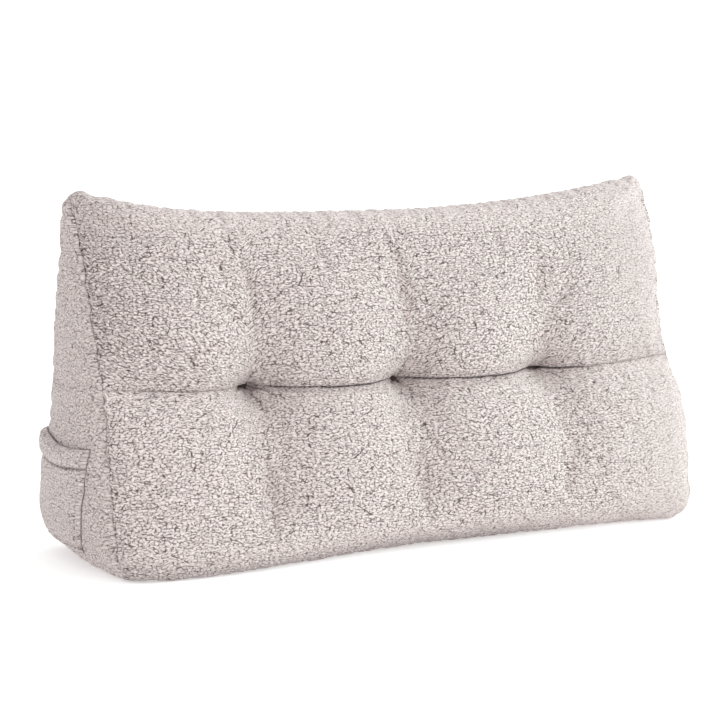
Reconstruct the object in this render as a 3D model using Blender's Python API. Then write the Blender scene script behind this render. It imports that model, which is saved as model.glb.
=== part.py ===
"""A wedge back-rest pillow: one filled, tufted body and a patch pocket on its left end.

The body is lofted from upright cross-sections, one for each station across the width.
Units are metres, +Z is up, the tufted slope faces -Y and the origin is under the middle.
"""

import bmesh
import bpy
import numpy as np
from mathutils import Matrix
from mathutils.bvhtree import BVHTree

# Outline of the end panels, seen from the side (Y to the back, Z up).
FRONT_FOOT = 0.006
FRONT_LEAN = 0.19
FRONT_CURL = 0.72
BACK_FOOT = 0.284
BACK_LEAN = 0.17

# Where each end seam stands, by height: a little wider at the foot and the ears.
ENDS = (
    # height, left, right
    (0.000, 0.449, 0.428),
    (0.010, 0.455, 0.437),
    (0.030, 0.460, 0.446),
    (0.060, 0.462, 0.450),
    (0.110, 0.462, 0.454),
    (0.180, 0.461, 0.453),
    (0.245, 0.459, 0.438),
    (0.330, 0.461, 0.441),
    (0.370, 0.460, 0.452),
    (0.430, 0.457, 0.462),
    (0.500, 0.458, 0.469),
)
HALF_WIDTH = 0.455

# The ridge sags between two ears. The left one is the sharper.
RIDGE_HEIGHT = 0.466
LEFT_EAR_RISE = 0.040
LEFT_EAR_POWER = 4.0
RIGHT_EAR_RISE = 0.046
RIGHT_EAR_POWER = 2.0
EAR_DROP = 0.014
EAR_ROUND = 0.045
RIDGE_CAP = 0.045
EAR_CAP = 0.020

# Rolls where the front and the back turn under the base.
FRONT_ROLL = 0.050
LEFT_ROLL = 0.016
RIGHT_ROLL = 0.034
FOOT_FLARE = 0.038
FOOT_FLARE_REACH = 0.05
BACK_ROLL = 0.040
CORNER_LIFT = 0.016
CORNER_LIFT_REACH = 0.12

# The filling swells each panel between its seams.
LOWER_SWELL = 0.030
UPPER_SWELL = 0.040
BACK_SWELL = 0.018
SWELL_POWER = 0.7
LOWER_FULLNESS = 1.5
LOWER_CROWN_POWER = 8.0
UPPER_CROWN_POWER = 4.5

# The end panels swell too, the left one more, and turn in towards the foot.
LEFT_END_SWELL = 0.027
RIGHT_END_SWELL = 0.026
LEFT_END_FOOT = 0.30
RIGHT_END_FOOT = 0.16
EAR_SWELL = 0.007
EAR_START = 0.93

# The cross seam, the three tufts on it and the soft channels above and below each tuft.
SEAM_HEIGHT = 0.230
SEAM_END_RISE = 0.015
SEAM_DEPTH = 0.012
SEAM_REACH = 0.012
SEAM_FADE = 0.5
SEAM_END_DEPTH = 0.004
SEAM_LIFT = 0.019
SEAM_LIFT_REACH = 0.045
LIFT_START = (0.05, 0.18)
LIFT_END = (0.30, 0.42)
TUFTS = (-0.233, -0.002, 0.229)
TUFT_DEPTHS = (0.026, 0.021, 0.019)
TUFT_REACH = 0.024
TUFT_BLEND = 0.020
LOWER_CHANNELS = (0.030, 0.029, 0.020)
UPPER_CHANNELS = (0.023, 0.023, 0.021)
CHANNEL_HALF_WIDTH = 0.055
CHANNEL_START = (0.02, 0.10)
CHANNEL_END = (0.34, 0.44)

# The pocket cloth on the left end panel, sewn down on three sides and open at the top.
POCKET_FOOT = 0.024
POCKET_MOUTH = 0.167
MOUTH_BACK_RISE = 0.008
POCKET_FRONT_FOOT = 0.096
POCKET_FRONT_MOUTH = 0.067
POCKET_FRONT_BOW = -0.002
POCKET_BACK_INSET = 0.010
MOUTH_DIP = 0.008
HEM_HEIGHT = 0.026
CLOTH = 0.0045
HEM_EXTRA = 0.0045
SEWN_GAP = 0.0016
POUCH_DEPTH = 0.0062

# Mesh divisions.
ACROSS = 44
LOWER_ROWS = 14
UPPER_ROWS = 13
DEEP = 10
FINE = 1601
POCKET_ALONG = 24
POCKET_ROWS = 10
HEM_ROWS = 5


def clear_scene():
    for old in list(bpy.data.objects):
        bpy.data.objects.remove(old)


def smooth(value, low, high):
    """0 below low, 1 above high, with a soft start and end."""
    ratio = np.clip((value - low) / (high - low), 0.0, 1.0)
    return ratio * ratio * (3.0 - 2.0 * ratio)


def crown(across, power=LOWER_CROWN_POWER):
    """How full the filling is at a station: 1 over most of the width, 0 at the end seams."""
    return np.sqrt(np.clip(1.0 - abs(across) ** power, 0.0, 1.0))


def read_table(rows, column, at):
    """Reads a column of a table between its rows, along a smooth curve."""
    table = np.array(rows)
    places = table[:, 0]
    values = table[:, column]
    slopes = np.gradient(values, places)
    row = np.clip(np.searchsorted(places, at) - 1, 0, len(places) - 2)
    span = places[row + 1] - places[row]
    ratio = np.clip((at - places[row]) / span, 0.0, 1.0)
    step = ratio * ratio * (3.0 - 2.0 * ratio)
    start_pull = ratio * (1.0 - ratio) ** 2 * slopes[row]
    end_pull = ratio**2 * (1.0 - ratio) * slopes[row + 1]
    between = values[row] + step * (values[row + 1] - values[row])
    return between + span * (start_pull - end_pull)


def end_seam(height, side):
    """X of the end seam at this height, as a distance from the middle."""
    return read_table(ENDS, 1 if side < 0 else 2, height)


def ridge_height(across):
    """The ridge sags between two ears, which round off at the end seams."""
    rise = LEFT_EAR_RISE if across < 0 else RIGHT_EAR_RISE
    power = LEFT_EAR_POWER if across < 0 else RIGHT_EAR_POWER
    ear = max(0.0, (abs(across) - 1.0 + EAR_ROUND) / EAR_ROUND)
    return RIDGE_HEIGHT + rise * abs(across) ** power - EAR_DROP * ear**2


def seam_height(across):
    return SEAM_HEIGHT + SEAM_END_RISE * abs(across) ** 3


def lobe(ratio):
    """A swelling between two seams, from 0 at each to 1 halfway."""
    return np.clip(4.0 * ratio * (1.0 - ratio), 0.0, 1.0) ** SWELL_POWER


def front_depth(across, height):
    """How far the front stands before (+) or behind (-) the plane of its end seams."""
    seam = seam_height(across)
    top = ridge_height(across) + 0.012
    lower = lobe(np.clip(height / seam, 0.0, 1.0) ** LOWER_FULLNESS)
    upper = lobe(np.clip((height - seam) / (top - seam), 0.0, 1.0))
    swell = np.where(height < seam, LOWER_SWELL * lower, UPPER_SWELL * upper)
    offsets = np.abs(across * HALF_WIDTH - np.array(TUFTS))
    nearest = offsets.min()
    weights = np.exp(-offsets / TUFT_BLEND)
    weights = weights / weights.sum()
    low_channel = weights @ np.array(LOWER_CHANNELS) * smooth(height, *CHANNEL_START)
    high_channel = weights @ np.array(UPPER_CHANNELS) * (1.0 - smooth(height, *CHANNEL_END))
    channel = np.where(height < seam, low_channel, high_channel)
    swell = swell - channel * np.exp(-((nearest / CHANNEL_HALF_WIDTH) ** 1.5))
    fade = smooth(1.0 - abs(across), 0.0, SEAM_FADE)
    away = np.abs(height - seam)
    depth = SEAM_END_DEPTH * crown(across) + (SEAM_DEPTH - SEAM_END_DEPTH) * fade**2
    crease = depth * np.exp(-away / SEAM_REACH)
    lift = SEAM_LIFT * (1.0 - np.exp(-((nearest / SEAM_LIFT_REACH) ** 2))) * fade
    near_seam = smooth(height, *LIFT_START) * (1.0 - smooth(height, *LIFT_END))
    swell = swell + lift * near_seam * (1.0 - np.where(height < seam, lower, upper))
    tuft_depth = weights @ np.array(TUFT_DEPTHS)
    tuft = tuft_depth * np.exp(-np.hypot(nearest, away) / TUFT_REACH)
    power = np.where(height < seam, LOWER_CROWN_POWER, UPPER_CROWN_POWER)
    flare = FOOT_FLARE * (1.0 - smooth(across, -0.75, 0.1))
    flare = flare * np.exp(-((height / FOOT_FLARE_REACH) ** 2))
    return crown(across, power) * (swell + flare) - crease - tuft


def roll(height, radius):
    """How far a panel is drawn in at this height as it turns under."""
    inside = np.clip((radius - height) / radius, 0.0, 1.0)
    return radius * (1.0 - np.sqrt(1.0 - inside**2))


def front_radius(across):
    """The front turns under sharply at the left end, and softly in the middle."""
    left = LEFT_ROLL + (FRONT_ROLL - LEFT_ROLL) * smooth(across, -0.95, -0.1)
    return left + (RIGHT_ROLL - FRONT_ROLL) * smooth(across, 0.75, 1.0)


def outline(across):
    """Heights, and the front and back Y at each, of one upright cross-section."""
    top = ridge_height(across)
    height = top * 0.5 * (1.0 - np.cos(np.linspace(0.0, np.pi, FINE)))
    edge = FRONT_FOOT + FRONT_LEAN * height + FRONT_CURL * height**3
    front = edge - front_depth(across, height)
    front = front + roll(height, front_radius(across))
    bow = lobe(height / top)
    back = BACK_FOOT - BACK_LEAN * height + crown(across) * BACK_SWELL * bow
    back = back - roll(height, BACK_ROLL)
    cap = EAR_CAP + (RIDGE_CAP - EAR_CAP) * crown(across)
    above = np.clip((height - top + cap) / cap, 0.0, 1.0)
    close = np.sqrt(np.clip(1.0 - above**2, 0.0, 1.0))
    start = np.searchsorted(height, top - cap)
    middle = 0.5 * (front[start] + back[start])
    lean = np.where(above > 0.0, middle, 0.0)
    front = np.where(above > 0.0, lean + (front[start] - middle) * close, front)
    back = np.where(above > 0.0, lean + (back[start] - middle) * close, back)
    return height, front, back


def resample(curve, count):
    """count + 1 points, evenly spaced along a curve of (y, z) points."""
    steps = np.hypot(*np.diff(curve, axis=0).T)
    length = np.concatenate([[0.0], np.cumsum(steps)])
    places = np.linspace(0.0, length[-1], count + 1)
    return np.stack([np.interp(places, length, curve[:, k]) for k in (0, 1)], axis=1)


def section(across):
    """The rows of one cross-section: front, back and the strips over the ridge and the base."""
    height, front, back = outline(across)
    top = height[-1]
    cap_start = np.searchsorted(height, top - 0.012)
    seam_row = np.searchsorted(height, seam_height(across))
    front_curve = np.stack([front, height], axis=1)
    back_curve = np.stack([back, height], axis=1)
    lower = resample(front_curve[: seam_row + 1], LOWER_ROWS)
    upper = resample(front_curve[seam_row : cap_start + 1], UPPER_ROWS)
    front_rows = np.concatenate([lower, upper[1:]])
    back_rows = resample(back_curve[: cap_start + 1], LOWER_ROWS + UPPER_ROWS)
    over = np.concatenate([front_curve[cap_start:], back_curve[cap_start:-1][::-1]])
    ridge_row = resample(over, DEEP)
    base_row = np.linspace(front_rows[0], back_rows[0], DEEP + 1)
    return front_rows, back_rows, ridge_row, base_row


def end_panel(front_rows, back_rows, ridge_row, base_row, side):
    """(y, z) of each row and column of an end panel, and how far it swells out there."""
    rows = len(front_rows)
    share = np.linspace(0.0, 1.0, DEEP + 1)
    grid = np.empty((rows, DEEP + 1, 2))
    for row in range(rows):
        grid[row] = front_rows[row] + share[:, None] * (back_rows[row] - front_rows[row])
    grid[0] = base_row
    lift = ridge_row - grid[-1]
    for row in range(rows):
        blend = smooth(row / (rows - 1), 0.75, 1.0)
        grid[row] += blend * lift
    bow = np.sqrt(4.0 * share * (1.0 - share))
    rise = np.linspace(0.0, 1.0, rows)
    full = LEFT_END_SWELL if side < 0 else RIGHT_END_SWELL
    turn = LEFT_END_FOOT if side < 0 else RIGHT_END_FOOT
    width = EAR_SWELL + (full - EAR_SWELL) * (1.0 - rise**1.5)
    foot = np.sqrt(1.0 - (1.0 - np.clip(rise / turn, 0.0, 1.0)) ** 2)
    into_ear = ((rise - EAR_START) / (1.0 - EAR_START)).clip(0.0)
    ear = np.sqrt(np.clip(1.0 - into_ear**2, 0.0, 1.0))
    swell = (width * foot * ear)[:, None] * bow[None, :]
    return grid, swell


def quads(grid, flip):
    """The faces of a grid of vertex numbers."""
    faces = []
    for row in range(grid.shape[0] - 1):
        for column in range(grid.shape[1] - 1):
            face = [
                grid[row, column],
                grid[row, column + 1],
                grid[row + 1, column + 1],
                grid[row + 1, column],
            ]
            faces.append(face[::-1] if flip else face)
    return faces


class Points:
    """Vertices that panels share along their seams, found again by place."""

    def __init__(self):
        self.places = []
        self.known = {}

    def add(self, point):
        key = tuple(np.round(point, 7))
        if key not in self.known:
            self.known[key] = len(self.places)
            self.places.append(tuple(float(value) for value in point))
        return self.known[key]

    def grid(self, array):
        flat = [self.add(point) for point in array.reshape(-1, 3)]
        return np.array(flat).reshape(array.shape[:2])


def to_world(across, rows):
    """Puts (y, z) rows at the station's X, which the end seams set."""
    x = across * end_seam(rows[:, 1], across)
    return np.stack([x, rows[:, 0], rows[:, 1]], axis=1)


def lift_corners(places):
    """The base leaves the floor towards its four corners, most at the back."""
    depth = (places[..., 1] - FRONT_FOOT) / (BACK_FOOT - FRONT_FOOT)
    end = smooth(np.abs(places[..., 0]) / HALF_WIDTH, 0.82, 1.0)
    back = np.clip((depth - 0.35) / 0.6, 0.0, 1.0) ** 1.5
    front = 0.1 * np.clip(1.0 - depth / 0.3, 0.0, 1.0) ** 2
    low = np.clip(1.0 - places[..., 2] / CORNER_LIFT_REACH, 0.0, 1.0)
    places[..., 2] += CORNER_LIFT * end * (back + front) * low
    return places


def cushion_panels():
    stations = np.linspace(-1.0, 1.0, ACROSS + 1)
    stations = np.sin(stations * np.pi * 0.44) / np.sin(np.pi * 0.44)
    sections = [section(across) for across in stations]
    strips = []
    for kind in range(4):
        rows = [to_world(a, part[kind]) for a, part in zip(stations, sections)]
        strips.append(lift_corners(np.stack(rows, axis=1)))
    return strips, {-1: sections[0], 1: sections[-1]}


def end_points(side, edge):
    grid, swell = end_panel(*edge, side)
    x = side * (end_seam(grid[:, :, 1], side) + swell)
    return lift_corners(np.stack([x, grid[:, :, 0], grid[:, :, 1]], axis=2))


def pocket_outline(share, rise):
    """(y, z) of the pocket cloth: share runs from its front edge to its back edge."""
    height = POCKET_FOOT + rise * (POCKET_MOUTH - POCKET_FOOT)
    height = height + rise * (MOUTH_BACK_RISE * share - MOUTH_DIP * np.sin(np.pi * share))
    front = POCKET_FRONT_FOOT + rise * (POCKET_FRONT_MOUTH - POCKET_FRONT_FOOT)
    front = front + POCKET_FRONT_BOW * np.sin(np.pi * rise)
    back = BACK_FOOT - BACK_LEAN * height - roll(height, BACK_ROLL) - POCKET_BACK_INSET
    return front + share * (back - front), height


def pouch(share, rise):
    """How far the pocket cloth stands off the end panel: sewn at three edges, open at the top."""
    width = np.sqrt(np.clip(np.sin(np.pi * share), 0.0, 1.0))
    depth = np.sqrt(1.0 - (1.0 - rise) ** 2)
    return SEWN_GAP + POUCH_DEPTH * width * depth


def cloth_thickness(share, rise):
    """The hem band is folded double, and its edges and the sewn edges are pressed thin."""
    hem_start = 1.0 - HEM_HEIGHT / (POCKET_MOUTH - POCKET_FOOT)
    band = np.clip((rise - hem_start) / (1.0 - hem_start), 0.0, 1.0)
    return CLOTH + HEM_EXTRA * np.sqrt(np.clip(4.0 * band * (1.0 - band), 0.0, 1.0))


def make_object(name, points, faces, colour):
    mesh = bpy.data.meshes.new(name)
    mesh.from_pydata(points.places, [], faces)
    work = bmesh.new()
    work.from_mesh(mesh)
    bmesh.ops.recalc_face_normals(work, faces=work.faces)
    work.to_mesh(mesh)
    work.free()
    mesh.shade_smooth()
    result = bpy.data.objects.new(name, mesh)
    bpy.context.scene.collection.objects.link(result)
    mesh.materials.append(fleece(name, colour))
    return result


def fleece(name, colour):
    material = bpy.data.materials.new(name)
    material.use_nodes = True
    shader = material.node_tree.nodes["Principled BSDF"]
    shader.inputs["Base Color"].default_value = (*colour, 1.0)
    shader.inputs["Roughness"].default_value = 0.95
    shader.inputs["Metallic"].default_value = 0.0
    return material


def make_cushion():
    (front, back, ridge, base), edges = cushion_panels()
    points = Points()
    faces = quads(points.grid(front), False)
    faces += quads(points.grid(back), True)
    faces += quads(points.grid(ridge), False)
    faces += quads(points.grid(base), True)
    for side in (-1, 1):
        faces += quads(points.grid(end_points(side, edges[side])), side < 0)
    return make_object("cushion", points, faces, (0.66, 0.61, 0.59))


def pocket_rises():
    """Rows up the pocket: even over the pouch, closer over the hem band."""
    hem_start = 1.0 - HEM_HEIGHT / (POCKET_MOUTH - POCKET_FOOT)
    pouch_rows = np.linspace(0.0, hem_start, POCKET_ROWS + 1)
    hem_rows = 0.5 * (1.0 - np.cos(np.linspace(0.0, np.pi, HEM_ROWS + 1)))
    return np.concatenate([pouch_rows, hem_start + hem_rows[1:] * (1.0 - hem_start)])


def make_pocket(body):
    """A sheet laid over the left end panel, found by looking in along X."""
    tree = BVHTree.FromObject(body, bpy.context.evaluated_depsgraph_get())
    rises = pocket_rises()
    shares = 0.5 * (1.0 - np.cos(np.linspace(0.0, np.pi, POCKET_ALONG + 1)))
    inner = np.empty((len(rises), len(shares), 3))
    outer = np.empty_like(inner)
    for row, rise in enumerate(rises):
        for column, share in enumerate(shares):
            y, z = pocket_outline(share, rise)
            hit = tree.ray_cast((-1.0, y, z), (1.0, 0.0, 0.0))[0]
            near = hit.x - pouch(share, rise)
            inner[row, column] = (near, y, z)
            outer[row, column] = (near - cloth_thickness(share, rise), y, z)
    points = Points()
    inside = points.grid(inner)
    outside = points.grid(outer)
    faces = quads(inside, False) + quads(outside, True)
    for side in (0, -1):
        faces += quads(np.stack([inside[side], outside[side]]), side == 0)
        faces += quads(np.stack([inside[:, side], outside[:, side]]), side != 0)
    return make_object("side_pocket", points, faces, (0.68, 0.63, 0.61))


def stand_on_origin(pieces):
    """Moves the whole thing so that the origin is under the middle of its box."""
    corners = np.concatenate([np.array([v.co for v in p.data.vertices]) for p in pieces])
    low = corners.min(axis=0)
    high = corners.max(axis=0)
    move = -0.5 * (low + high)
    move[2] = -low[2]
    for piece in pieces:
        piece.data.transform(Matrix.Translation(move))


def main():
    clear_scene()
    body = make_cushion()
    pocket = make_pocket(body)
    stand_on_origin([body, pocket])


main()
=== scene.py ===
"""The looks of a wedge back-rest pillow: sherpa fleece panels sewn over a tufted filling.

The body is lofted from upright cross-sections, settled by a cloth simulation, cut into the
panels that a maker would sew, and each panel is given its pile. Units are metres, +Z is up.
"""

import bpy
import numpy as np
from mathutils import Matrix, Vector
from mathutils.bvhtree import BVHTree


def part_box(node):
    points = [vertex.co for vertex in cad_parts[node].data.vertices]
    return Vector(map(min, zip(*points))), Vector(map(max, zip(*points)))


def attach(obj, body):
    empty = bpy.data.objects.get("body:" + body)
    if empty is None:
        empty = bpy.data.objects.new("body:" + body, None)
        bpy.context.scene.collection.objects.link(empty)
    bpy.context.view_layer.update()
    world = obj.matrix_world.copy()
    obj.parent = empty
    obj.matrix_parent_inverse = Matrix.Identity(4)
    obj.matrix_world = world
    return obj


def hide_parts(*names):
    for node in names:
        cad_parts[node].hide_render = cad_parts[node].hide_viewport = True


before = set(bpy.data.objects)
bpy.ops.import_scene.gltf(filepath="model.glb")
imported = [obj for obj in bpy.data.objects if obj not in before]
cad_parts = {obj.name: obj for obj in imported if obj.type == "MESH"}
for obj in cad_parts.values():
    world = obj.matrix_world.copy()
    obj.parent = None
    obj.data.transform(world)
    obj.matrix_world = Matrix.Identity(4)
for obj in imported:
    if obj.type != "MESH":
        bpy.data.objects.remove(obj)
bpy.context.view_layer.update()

# Camera, in the frame that the form is drawn in.
CAMERA_PLACE = (-1.395, -2.463, 0.602)
CAMERA_AZIMUTH = -27.482
CAMERA_ELEVATION = 6.757
CAMERA_LENS = 103.55
SENSOR_WIDTH = 36.0

# Outline of the end panels, seen from the side (Y to the back, Z up).
FRONT_FOOT = 0.006
FRONT_LEAN = 0.19
FRONT_CURL = 0.72
BACK_FOOT = 0.284
BACK_LEAN = 0.17

# Where each end seam stands, by height. Both turn in at the foot, the right one more.
ENDS = (
    # height, left, right
    (0.000, 0.449, 0.428),
    (0.010, 0.455, 0.437),
    (0.030, 0.460, 0.446),
    (0.060, 0.462, 0.450),
    (0.110, 0.462, 0.454),
    (0.180, 0.461, 0.453),
    (0.245, 0.459, 0.438),
    (0.330, 0.461, 0.441),
    (0.370, 0.460, 0.452),
    (0.430, 0.457, 0.462),
    (0.500, 0.458, 0.469),
)
HALF_WIDTH = 0.455

# The ridge sags between two ears. The left one is the sharper.
RIDGE_HEIGHT = 0.466
LEFT_EAR_RISE = 0.040
LEFT_EAR_POWER = 4.0
RIGHT_EAR_RISE = 0.046
RIGHT_EAR_POWER = 2.0
EAR_DROP = 0.014
EAR_ROUND = 0.045
RIDGE_CAP = 0.045
EAR_CAP = 0.020
RIDGE_STRIP = 0.012

# Rolls where the front and the back turn under the base. The front stands out at its left
# foot, and the base's corners leave the floor. Places across run from -1 to 1.
FRONT_ROLL = 0.050
LEFT_ROLL = 0.016
RIGHT_ROLL = 0.034
LEFT_ROLL_SPAN = (-0.95, -0.1)
RIGHT_ROLL_SPAN = (0.75, 1.0)
FOOT_FLARE = 0.038
FOOT_FLARE_REACH = 0.05
FOOT_FLARE_SPAN = (-0.75, 0.1)
BACK_ROLL = 0.040
CORNER_LIFT = 0.016
CORNER_LIFT_REACH = 0.12
CORNER_SPAN = (0.82, 1.0)
CORNER_BACK_START = 0.35
CORNER_BACK_REACH = 0.6
CORNER_BACK_POWER = 1.5
CORNER_FRONT_SHARE = 0.1
CORNER_FRONT_REACH = 0.3

# The filling swells each panel between its seams.
LOWER_SWELL = 0.030
UPPER_SWELL = 0.040
BACK_SWELL = 0.018
SWELL_POWER = 0.7
LOWER_FULLNESS = 1.5
LOWER_CROWN_POWER = 8.0
UPPER_CROWN_POWER = 4.5
LEFT_END_SWELL = 0.027
RIGHT_END_SWELL = 0.026
LEFT_END_FOOT = 0.30
RIGHT_END_FOOT = 0.16
EAR_SWELL = 0.007
EAR_START = 0.93
END_TAPER = 1.5
END_LIFT_START = 0.75

# The cross seam, the three tufts on it, the fuller cloth between them and the soft channels
# above and below each tuft.
SEAM_HEIGHT = 0.230
SEAM_END_RISE = 0.015
SEAM_DEPTH = 0.012
SEAM_REACH = 0.012
SEAM_FADE = 0.5
SEAM_END_DEPTH = 0.004
SEAM_LIFT = 0.019
SEAM_LIFT_REACH = 0.045
LIFT_START = (0.05, 0.18)
LIFT_END = (0.30, 0.42)
TUFTS = (-0.233, -0.002, 0.229)
TUFT_DEPTHS = (0.026, 0.021, 0.019)
TUFT_REACH = 0.024
TUFT_BLEND = 0.020
LOWER_CHANNELS = (0.030, 0.029, 0.018)
UPPER_CHANNELS = (0.023, 0.023, 0.021)
CHANNEL_HALF_WIDTH = 0.055
CHANNEL_POWER = 1.5
CHANNEL_START = (0.02, 0.10)
CHANNEL_END = (0.34, 0.44)

# The pocket cloth on the left end panel, sewn down on three sides and open at the top.
POCKET_FOOT = 0.024
POCKET_MOUTH = 0.167
MOUTH_BACK_RISE = 0.008
POCKET_FRONT_FOOT = 0.096
POCKET_FRONT_MOUTH = 0.067
POCKET_FRONT_BOW = -0.002
POCKET_BACK_INSET = 0.010
MOUTH_DIP = 0.008
HEM_HEIGHT = 0.026
CLOTH = 0.0045
HEM_EXTRA = 0.0045
SEWN_GAP = 0.0016
POUCH_DEPTH = 0.0045
MOUTH_GAP = 0.0010
PILE_GAP = 0.0007

# The pocket's size laid flat, the divisions of its cloth, its edges and its stitch lines.
POCKET_ROWS = 96
POCKET_COLUMNS = 108
POCKET_LIP = 0.0040
POCKET_THINNING = 0.88
LEAST_ROLL = 0.85
ROLL_DASH = 0.009
MOUTH_ROLL = 0.8
STITCH_INSET = 0.0078
STITCH_DEPTH = 0.0022
STITCH_WIDTH = 0.0015
STITCH_DASH = 0.008
LEAST_STITCH = 0.6
HEM_STITCH = 2.0
HEM_STITCH_WIDTH = 0.0018
STITCH_SHADE = 0.30
POCKET_CALM = 0.65
POCKET_CLOTH_PLACE = 13.0

# Divisions of the body that the simulation works on.
ACROSS = 126
LOWER_ROWS = 32
UPPER_ROWS = 30
DEEP = 36
RIDGE_SPLIT = 24
FINE = 801
STATION_STEPS = 2001
STATION_HEIGHTS = (0.12, 0.34)
SAME_PLACE_DIGITS = 7

# The cloth simulation: how long it runs, how hard the filling pushes, how much cloth is
# eased in, how far it may move the cloth, and how many times its broad part is evened out.
FRAMES = 20
PRESSURE = 4.0
EASE = 0.02
MOST_MOVE = 0.0024
BROAD_STEPS = 10
TINY = 1e-9

# The end seams wander a little, in waves. Only cloth close to them goes along.
WANDERS = (
    # size, length
    (0.0011, 0.050),
    (0.0007, 0.023),
)
FULL_TURN = 6.28
WANDER_SHIFT = 2.0
WANDER_HUG = 30
WANDER_START = 0.03

# Panel edges roll down into their seams, and the tufts pull pits. Both are shaded.
BACKING = 0.0035
GROOVE = 0.0028
LIP = 0.0045
CREASE = 0.0060
CREASE_LIP = 0.0042
PIT_DEPTH = 0.0065
PIT_REACH = 0.0060
PIT_STRETCH = 0.75
PIT_SHADE = 0.6
PIT_SHADE_REACH = 0.6
SEAM_SHADE = 0.8
SHADE_WIDTH = 0.0016

# The line that runs beside the left seam of the front, and how the stitches show in a seam.
BEAD = 0.0085
BEAD_WIDTH = 0.0020
BEAD_GROOVE = 0.0010
BEAD_DASH = 0.009
LEAST_BEAD = 0.4
BEAD_SHADE = 0.06
SIDE_GROOVE = 0.0052
STITCH_LENGTH = 0.013
LEAST_SIDE = 0.05
LEAST_GUSSET = 0.10
DASH_SWAY = 0.35
DASH_DRIFT = 2.1

# The cross seam is drawn in between these places. Outside them it is a faint line.
DRAWN_IN_FROM = (-0.26, -0.22)
DRAWN_IN_TO = (0.26, 0.31)
FAINT_LEAST = 0.25
FAINT_MORE = 0.45
FAINT_DASH = 0.012

# Seams and creases fade out near the ridge, and the foot of the front is shaded.
RIDGE_FADE = (0.425, 0.465)
RIDGE_DROP_LOSS = 0.7
RIDGE_SHADE_LOSS = 0.8
FOOT_SHADE = 0.34
FOOT_SHADE_HEIGHTS = (0.003, 0.034)
FOOT_SHADE_END = (0.12, 0.32)

# Short creases that the tufts pull in the cloth: from a tuft, in metres along and up.
PULLS = (
    # tuft, along, up, depth
    (0, -0.004, 0.052, 0.0016),
    (0, 0.044, -0.034, 0.0018),
    (0, -0.030, -0.012, 0.0010),
    (0, 0.012, -0.075, 0.0010),
    (1, 0.002, 0.060, 0.0016),
    (1, 0.024, -0.070, 0.0012),
    (1, -0.012, -0.034, 0.0010),
    (2, 0.012, 0.040, 0.0012),
    (2, 0.034, -0.040, 0.0014),
    (2, -0.022, -0.018, 0.0010),
)
PULL_WAVES = (
    # size, radians per metre, shift for each tuft
    (0.0022, 260.0, 3.0),
    (0.0012, 610.0, 0.0),
)
PULL_WIDTH = 0.0017
PULL_START = (0.002, 0.008)
PULL_FADE = 0.55
PULL_DASH = 0.011
LEAST_PULL = 0.45
PULL_DROP = 1.3
PULL_SHADE = 0.8

# Painted shade, darker at both ends of the front, and painted light, paler by the ridge and over
# the lower panel, as shares of the whole tone.
LEFT_PAINTED_SHADE = 0.12
RIGHT_PAINTED_SHADE = 0.035
RIDGE_PAINTED_LIGHT = 0.04
LOWER_PAINTED_LIGHT = 0.04
SHELF_PAINTED_LIGHT = 0.07
LEFT_PAINTED_SHADE_REACH = (-0.43, -0.31)
LEFT_PAINTED_SHADE_HEIGHTS = (0.24, 0.30)
RIGHT_PAINTED_SHADE_REACH = (0.20, 0.40)
RIDGE_PAINTED_LIGHT_HEIGHTS = (0.43, 0.46)
SHELF_PAINTED_LIGHT_BELOW = (0.045, 0.012)

# How still the pile lies: at the right end, along the foot, by the ridge and by each tuft.
RIGHT_STILL = 0.95
RIGHT_STILL_REACH = (0.22, 0.44)
FOOT_STILL = 0.60
FOOT_STILL_HEIGHTS = (0.020, 0.050)
RIDGE_STILL = 0.60
RIDGE_STILL_HEIGHTS = (0.410, 0.465)
TUFT_STILL = 0.55
TUFT_STILL_REACH = 0.045
TUFT_STILL_SHIFT = 0.018
STILL_RELIEF = 0.5

# One division of a panel's inner face for this many of its outer face.
COARSE = 6

# Each panel of the cover: fine rows and columns, as multiples of COARSE, whether its
# outside faces the other way from its grid, where its cloth starts, and how flat its pile is.
PANELS = (
    # name, rows, columns, flip, cloth_place, calm
    ("lower_front_panel", 162, 588, False, 1.0, 0.0),
    ("upper_front_panel", 162, 588, False, 3.0, 0.0),
    ("back_panel", 180, 480, True, 5.0, 0.3),
    ("base_panel", 72, 300, True, 7.0, 0.7),
    ("left_gusset", 228, 150, True, 9.0, 0.60),
    ("right_gusset", 228, 150, False, 11.0, 0.60),
)

# Pile: sizes of the clumps of curled fibre, of the cracks between them and of the grain, how
# high they stand, and how far the whole sinks into the floor before it is flattened there.
CLUMP = 0.0037
CLUMP_STRETCH = 1.8
CRACK_WIDTH = 0.125
LONG_CRACK_CELL = 0.019
LONG_CRACK_WIDTH = 0.034
LONG_CRACK_STRETCH = 0.55
LONG_CRACK_DEPTH = 0.8
WORM = 0.0085
WORM_STRETCH = 0.8
WORM_WIDTH = 0.024
WORM_DEPTH = 0.7
CURL = 0.0030
FIBRE = 0.0020
FIBRE_SHARE = 1.3
GRAIN_RELIEF = 0.8
RELIEF = 0.0009
SINK = 0.0004

# Noise that bends and breaks the cracks: its cell, as a share of a clump or a worm, and the
# range of its values between which a crack comes in. Then how uneven the clumps are.
WOBBLE_CELL = 1.2
WOBBLE = 0.5
BREAK_CELL = 0.9
BREAK_RANGE = (0.36, 0.62)
BREAK_LEAST = 0.10
RARE_CELL = 2.2
RARE_RANGE = (0.52, 0.62)
WORM_BREAK_CELL = 0.7
WORM_BREAK_RANGE = (0.42, 0.56)
UNEVEN_CELLS = 0.9

# How the pile is coloured: how dark the painted shade in the cracks is, how dark the grain is, the
# fibre's colours, and the colour of the deepest painted shade.
PILE_LEVEL = 0.80
CRACK_SHADE = 1.45
GRAIN_TONE = 1.05
STILL_CALM = 0.70
STILL_TONE = 0.07
SHADE_TONE = 0.75
TIP = (0.79, 0.696, 0.675)
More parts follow.
